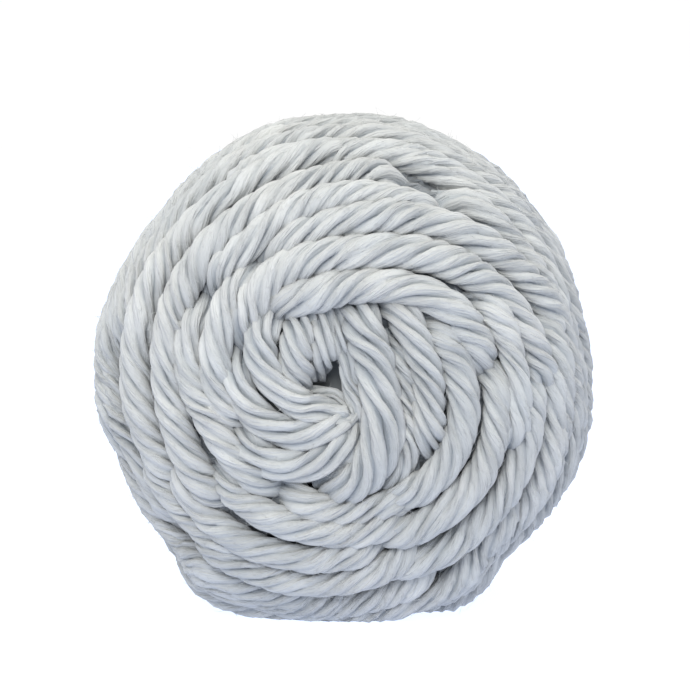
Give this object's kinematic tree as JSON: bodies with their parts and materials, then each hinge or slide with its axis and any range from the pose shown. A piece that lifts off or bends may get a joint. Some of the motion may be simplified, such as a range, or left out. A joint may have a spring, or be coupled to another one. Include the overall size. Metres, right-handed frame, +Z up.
{
  "type": "ball of yarn",
  "caption": "Ball of chunky pale blue-grey cotton yarn lying on its side, wound in spiral turns that swirl around a small hollow in each end.",
  "frame": {"origin": "middle of the ball's footprint, on the surface it rests on", "axes": "+Z up; the ball's own axis runs along Y and the end with the rosette of short strands faces -Y"},
  "size_m": [0.0844, 0.0844, 0.0824],
  "materials": {
    "yarn": "matt soft-twisted cotton, pale blue-grey"
  },
  "bodies": {
    "root": {"yarn_ball": "yarn"}
  },
  "joints": []
}
